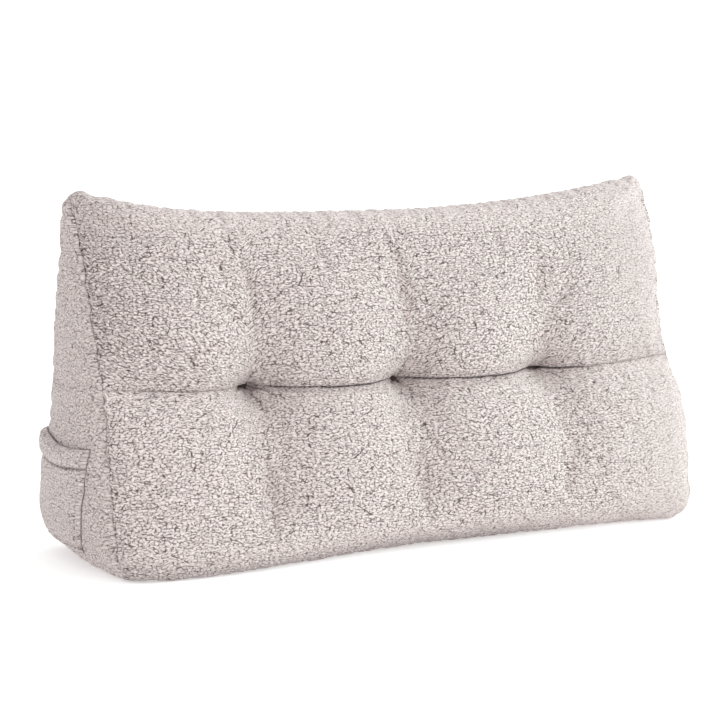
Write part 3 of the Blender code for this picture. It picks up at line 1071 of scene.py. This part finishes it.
def fleece_material(name, tip):
    """Sherpa fleece: pale clumps, painted shade in the cracks between them, a fine grain and a
    soft sheen.
    """
    material = bpy.data.materials.new(name)
    material.use_nodes = True
    tree = material.node_tree
    shader = tree.nodes["Principled BSDF"]
    set_inputs(shader, Roughness=0.95, Specular_IOR_Level=0.2)
    set_inputs(shader, Sheen_Weight=0.2, Sheen_Roughness=0.5)
    cloth = node(tree, "ShaderNodeAttribute", attribute_name="cloth").outputs["Vector"]
    look = node(tree, "ShaderNodeAttribute", attribute_name="look").outputs["Vector"]
    parts = node(tree, "ShaderNodeSeparateXYZ")
    link(tree, look, parts.inputs[0])
    # The look carries painted shade, how still the pile lies, and a lift of painted light or
    # painted shade.
    shade, still, lift = parts.outputs
    lively = calculate(tree, "MULTIPLY_ADD", still, -STILL_CALM, 1.0)
    cracks, grain = pile_nodes(tree, cloth)
    grain = calculate(tree, "MULTIPLY", grain, GRAIN_TONE)
    # The cracks are painted dark: painted shade between the clumps.
    height = calculate(tree, "MULTIPLY_ADD", cracks, -CRACK_SHADE, grain)
    height = calculate(tree, "MULTIPLY", height, lively)
    level = calculate(tree, "MULTIPLY_ADD", still, -STILL_TONE, PILE_LEVEL)
    # The lift adds painted light or painted shade to the tone.
    level = calculate(tree, "ADD", level, lift)
    tone = calculate(tree, "ADD", height, level)
    tone = calculate(tree, "MULTIPLY_ADD", shade, -SHADE_TONE, tone)
    ramp = node(tree, "ShaderNodeValToRGB")
    # The ramp runs from the colour of the deepest painted shade to the fibre's tip colour.
    ramp.color_ramp.elements[0].color = (*SHADE_COLOUR, 1.0)
    ramp.color_ramp.elements[1].color = (*tip, 1.0)
    link(tree, tone, ramp.inputs["Fac"])
    link(tree, ramp.outputs["Color"], shader.inputs["Base Color"])
    bump = node(tree, "ShaderNodeBump")
    set_inputs(bump, Strength=0.5, Distance=0.0008)
    link(tree, height, bump.inputs["Height"])
    link(tree, bump.outputs["Normal"], shader.inputs["Normal"])
    return material


def make_floor():
    """A plain pale floor, which glows a little so that it comes out near white."""
    bpy.ops.mesh.primitive_plane_add(size=FLOOR_SIZE)
    floor = bpy.context.object
    floor.name = "floor"
    paint = bpy.data.materials.new("floor_paint")
    paint.use_nodes = True
    shader = paint.node_tree.nodes["Principled BSDF"]
    set_inputs(shader, Base_Color=(FLOOR_GREY, FLOOR_GREY, FLOOR_GREY, 1.0))
    set_inputs(shader, Emission_Color=(1.0, 1.0, 1.0, 1.0), Emission_Strength=FLOOR_GLOW)
    set_inputs(shader, Roughness=1.0, Specular_IOR_Level=0.0)
    floor.data.materials.append(paint)


def make_sky():
    """A white sky that is brighter to one side."""
    world = bpy.data.worlds.new("studio")
    bpy.context.scene.world = world
    world.use_nodes = True
    tree = world.node_tree
    sky = tree.nodes["Background"]
    sky.inputs["Color"].default_value = (1.0, 1.0, 1.0, 1.0)
    direction = node(tree, "ShaderNodeTexCoord").outputs["Generated"]
    side = node(tree, "ShaderNodeVectorMath", operation="DOT_PRODUCT")
    link(tree, direction, side.inputs[0])
    side.inputs[1].default_value = BRIGHT_SIDE
    strength = calculate(tree, "MULTIPLY_ADD", side.outputs["Value"], SKY_SLOPE, 1.0)
    link(tree, strength, sky.inputs["Strength"])
    bpy.context.scene.view_settings.view_transform = "Standard"


def make_lamp(name, place, target, size, power, colour):
    """A large square softbox at a place, turned to a target."""
    lamp = bpy.data.lights.new(name, "AREA")
    lamp.size = size
    lamp.energy = power
    lamp.color = colour
    holder = add_object(name, lamp)
    holder.location = place
    towards = Vector(place) - Vector(target)
    holder.rotation_euler = towards.to_track_quat("Z", "Y").to_euler()


def make_camera(move):
    """The camera that was solved from the picture, moved along with the form."""
    azimuth = np.radians(CAMERA_AZIMUTH)
    elevation = np.radians(CAMERA_ELEVATION)
    flat = np.cos(elevation)
    back = Vector((np.sin(azimuth) * flat, -np.cos(azimuth) * flat, np.sin(elevation)))
    lens = bpy.data.cameras.new("camera")
    lens.lens = CAMERA_LENS
    lens.sensor_width = SENSOR_WIDTH
    camera = add_object("camera", lens)
    camera.location = np.array(CAMERA_PLACE) + move
    camera.rotation_euler = (-back).to_track_quat("-Z", "Y").to_euler()
    bpy.context.scene.camera = camera


def pocket_outline(share, rise):
    """(y, z) of the pocket cloth: share runs from its front edge to its back edge."""
    height = POCKET_FOOT + rise * (POCKET_MOUTH - POCKET_FOOT)
    height = height + rise * (MOUTH_BACK_RISE * share - MOUTH_DIP * np.sin(np.pi * share))
    front = POCKET_FRONT_FOOT + rise * (POCKET_FRONT_MOUTH - POCKET_FRONT_FOOT)
    front = front + POCKET_FRONT_BOW * np.sin(np.pi * rise)
    back = BACK_FOOT - BACK_LEAN * height - roll(height, BACK_ROLL) - POCKET_BACK_INSET
    return front + share * (back - front), height


def loose(share):
    """How free the pocket cloth is of its two upright seams: 0 at each, 1 halfway."""
    return np.sqrt(limited(np.sin(np.pi * share)))


def pouch(share, rise):
    """How far the pocket cloth stands off the end panel: sewn at three edges, open at the top."""
    depth = np.sqrt(1.0 - (1.0 - rise) ** 2)
    return SEWN_GAP + POUCH_DEPTH * loose(share) * depth


def pocket_looks(up, across, stand):
    """How far the pocket's outside stands off its inside, how far its edges have rolled in
    and how much of a stitch line there is, place by place."""
    from_back = across[:, -1:] - across
    from_mouth = up[-1] - up
    sewn = np.minimum(np.minimum(across, from_back), up)
    rolled = lip(sewn, POCKET_LIP) * uneven(dashes(up - across, ROLL_DASH), LEAST_ROLL)
    rolled = np.maximum(rolled, MOUTH_ROLL * lip(from_mouth, POCKET_LIP))
    hem = limited(1.0 - from_mouth / HEM_HEIGHT)
    puff = HEM_EXTRA * arch(hem)
    lines = np.exp(-(((across - STITCH_INSET) / STITCH_WIDTH) ** 2)) * (from_mouth > HEM_HEIGHT)
    lines = np.maximum(lines, np.exp(-(((up - STITCH_INSET) / STITCH_WIDTH) ** 2)))
    hem_line = np.exp(-(((from_mouth - HEM_HEIGHT) / HEM_STITCH_WIDTH) ** 2))
    lines = np.maximum(lines, HEM_STITCH * hem_line)
    lines = lines * uneven(dashes(up + across, STITCH_DASH), LEAST_STITCH)
    thick = CLOTH * (1.0 - POCKET_THINNING * rolled) + (stand + puff) * (1.0 - rolled)
    return thick - STITCH_DEPTH * lines, rolled, lines


def make_pocket(tree, move):
    """The patch pocket: one cloth laid over the left gusset, with a folded hem at its mouth."""
    rise, share = np.meshgrid(
        np.linspace(0.0, 1.0, POCKET_ROWS + 1),
        np.linspace(0.0, 1.0, POCKET_COLUMNS + 1),
        indexing="ij",
    )
    y, z = pocket_outline(share, rise)
    y = y + move[1]
    z = z + move[2]
    x = np.empty_like(y)
    for spot in np.ndindex(y.shape):
        x[spot] = tree.ray_cast((-1.0, y[spot], z[spot]), (1.0, 0.0, 0.0))[0].x
    gap = MOUTH_GAP * loose(share) * rise**2
    stand = pouch(share, rise) - PILE_GAP - gap
    inner = np.stack([x - PILE_GAP - gap, y, z], axis=2)
    thick, rolled, lines = pocket_looks(lengths_over(inner, 0), lengths_over(inner, 1), stand)
    outward = np.array([-1.0, 0.0, 0.0])
    outer = inner + thick[..., None] * outward
    out = (1.0 - rolled)[..., None] * outward
    cloth = np.stack([y + POCKET_CLOTH_PLACE, z, np.zeros_like(x)], axis=2)
    shade = limited(STITCH_SHADE * lines)
    look = np.stack([shade, np.full_like(x, POCKET_CALM), np.zeros_like(x)], axis=-1)
    parts = (outer, inner[::COARSE, ::COARSE], cloth, out, look)
    outer, inner, cloth, out, look = (part[:, ::-1] for part in parts)
    return dress("patch_pocket", shell("patch_pocket", outer, inner), cloth, out, look)


def run_filling(body, held):
    """Runs the cloth simulation on the body, and returns how far each of its points moved."""
    rest = vertex_array(body)
    piece = add_object("settling", body)
    hold = piece.vertex_groups.new(name="hold")
    hold.add(np.flatnonzero(held).tolist(), 1.0, "REPLACE")
    modifier = piece.modifiers.new("filling", "CLOTH")
    cloth = modifier.settings
    cloth.quality = 6
    cloth.mass = 0.3
    cloth.tension_stiffness = 15.0
    cloth.compression_stiffness = 8.0
    cloth.shear_stiffness = 5.0
    cloth.bending_stiffness = 0.6
    cloth.use_pressure = True
    cloth.uniform_pressure_force = PRESSURE
    cloth.shrink_min = -EASE
    cloth.vertex_group_mass = "hold"
    cloth.effector_weights.gravity = 0.0
    modifier.collision_settings.use_collision = False
    modifier.point_cache.frame_start = 1
    modifier.point_cache.frame_end = FRAMES
    scene = bpy.context.scene
    for frame_number in range(1, FRAMES + 1):
        scene.frame_set(frame_number)
    graph = bpy.context.evaluated_depsgraph_get()
    moved = vertex_array(piece.evaluated_get(graph).data) - rest
    scene.frame_set(1)
    piece.modifiers.remove(modifier)
    bpy.data.objects.remove(piece)
    return moved


def broad_part(body, moved):
    """The broad part of a movement: each point takes the mean of its neighbours, in turns."""
    ends = np.empty(len(body.edges) * 2, np.int32)
    body.edges.foreach_get("vertices", ends)
    ends = ends.reshape(-1, 2)
    neighbours = np.bincount(ends.ravel(), minlength=len(moved))[:, None]
    broad = moved
    for _ in range(BROAD_STEPS):
        around = np.zeros_like(broad)
        np.add.at(around, ends[:, 0], broad[ends[:, 1]])
        np.add.at(around, ends[:, 1], broad[ends[:, 0]])
        broad = around / neighbours
    return broad


def settle(body, panels):
    """The filling pushes the cover out between its seams, which hold, and the cloth puckers.

    Only the fine part of the movement is kept, because the form already has the broad one.
    """
    rest = vertex_array(body)
    held = np.zeros(len(rest), bool)
    for index in panels.values():
        for line in (index[0], index[-1], index[:, 0], index[:, -1]):
            held[line] = True
    held[panels["base_panel"].ravel()] = True
    moved = run_filling(body, held)
    fine = moved - broad_part(body, moved)
    size = np.linalg.norm(fine, axis=1, keepdims=True)
    fine = fine * np.minimum(1.0, MOST_MOVE / np.maximum(size, TINY))
    fine[held] = 0.0
    body.vertices.foreach_set("co", (rest + fine).astype(np.float32).ravel())
    body.update()


def finish_piece(piece, material, replaced):
    """Gives a piece its material, and says what it rides on and what it replaces."""
    piece.data.materials.append(material)
    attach(piece, "root")
    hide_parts(replaced)


def find_move(body):
    """How far the drawn form moves so that it stands on the frame's floor, over its cushion."""
    rest = vertex_array(body)
    low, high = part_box("cushion")
    centre = 0.5 * (np.array(low) + np.array(high))
    move = centre - 0.5 * (rest.min(axis=0) + rest.max(axis=0))
    move[2] = -rest[:, 2].min()
    return move


def main():
    make_floor()
    make_sky()
    for lamp in LAMPS:
        make_lamp(*lamp)
    body, panels = make_body()
    move = find_move(body)
    make_camera(move)
    settle(body, panels)
    places = vertex_array(body) + move
    normals = vertex_array(body, "normal")
    pile = pile_group()
    fleece = fleece_material("body_fleece", TIP)
    for name, rows, columns, flip, cloth_place, calm in PANELS:
        index = panels[name]
        grid = np.concatenate([places[index], normals[index]], axis=2)
        piece = make_panel(name, rows, columns, flip, cloth_place, calm, grid, move[0])
        raise_pile(piece, pile)
        finish_piece(piece, fleece, "cushion")
    tree = BVHTree.FromPolygons(places.tolist(), [list(face.vertices) for face in body.polygons])
    # The pocket's fleece is a copy of the body's with a paler tip: painted light against its
    # shade.
    pocket_fleece = fleece_material("pocket_fleece", POCKET_PAINTED_LIGHT_TIP)
    pocket = make_pocket(tree, move)
    raise_pile(pocket, pile)
    finish_piece(pocket, pocket_fleece, "side_pocket")


main()
